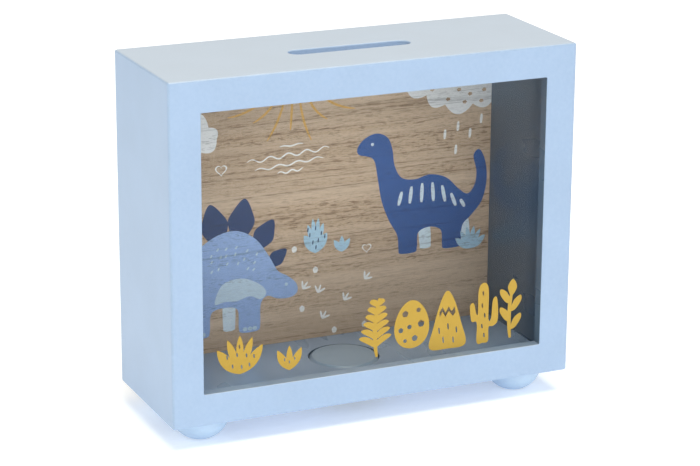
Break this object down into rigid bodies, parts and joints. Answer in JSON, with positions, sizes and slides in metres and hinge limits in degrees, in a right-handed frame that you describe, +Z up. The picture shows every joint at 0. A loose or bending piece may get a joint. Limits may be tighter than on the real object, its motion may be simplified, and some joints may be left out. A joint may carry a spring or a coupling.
{
  "type": "money box",
  "caption": "Wooden box on round feet with a coin slot in the top, a framed clear front window, a printed back panel and a pull-out stopper underneath.",
  "frame": {"origin": "on the standing surface, under the middle of the box", "axes": "+X to the right along the front, +Y from the front window to the back, +Z up"},
  "size_m": [0.2, 0.07, 0.1715],
  "materials": {
    "painted_wood": "satin light blue paint, slate blue inside",
    "clear_pane": "clear, glossy",
    "printed_panel": "matt wood grain with a printed picture",
    "dowel_wood": "plain, unfinished",
    "pin_steel": "bright",
    "stopper_plastic": "milky, slightly see-through"
  },
  "bodies": {
    "box": {"front_frame": "painted_wood", "top_board": "painted_wood", "bottom_board": "painted_wood", "left_board": "painted_wood", "right_board": "painted_wood", "front_pane": "clear_pane", "back_panel": "printed_panel", "foot_front_left": "painted_wood", "foot_front_right": "painted_wood", "foot_rear_left": "painted_wood", "foot_rear_right": "painted_wood", "foot_dowel_front_left": "dowel_wood", "foot_dowel_front_right": "dowel_wood", "foot_dowel_rear_left": "dowel_wood", "foot_dowel_rear_right": "dowel_wood", "panel_pin_top_left": "pin_steel", "panel_pin_top_middle": "pin_steel", "panel_pin_top_right": "pin_steel", "panel_pin_bottom_left": "pin_steel", "panel_pin_bottom_middle": "pin_steel", "panel_pin_bottom_right": "pin_steel", "panel_pin_left_lower": "pin_steel", "panel_pin_left_upper": "pin_steel", "panel_pin_right_lower": "pin_steel", "panel_pin_right_upper": "pin_steel"},
    "stopper": {"stopper": "stopper_plastic"}
  },
  "joints": [
    {"name": "stopper_pull", "type": "slide", "parent": "box", "child": "stopper", "axis": [0, 0, -1], "range_m": [0, 0.03]}
  ]
}
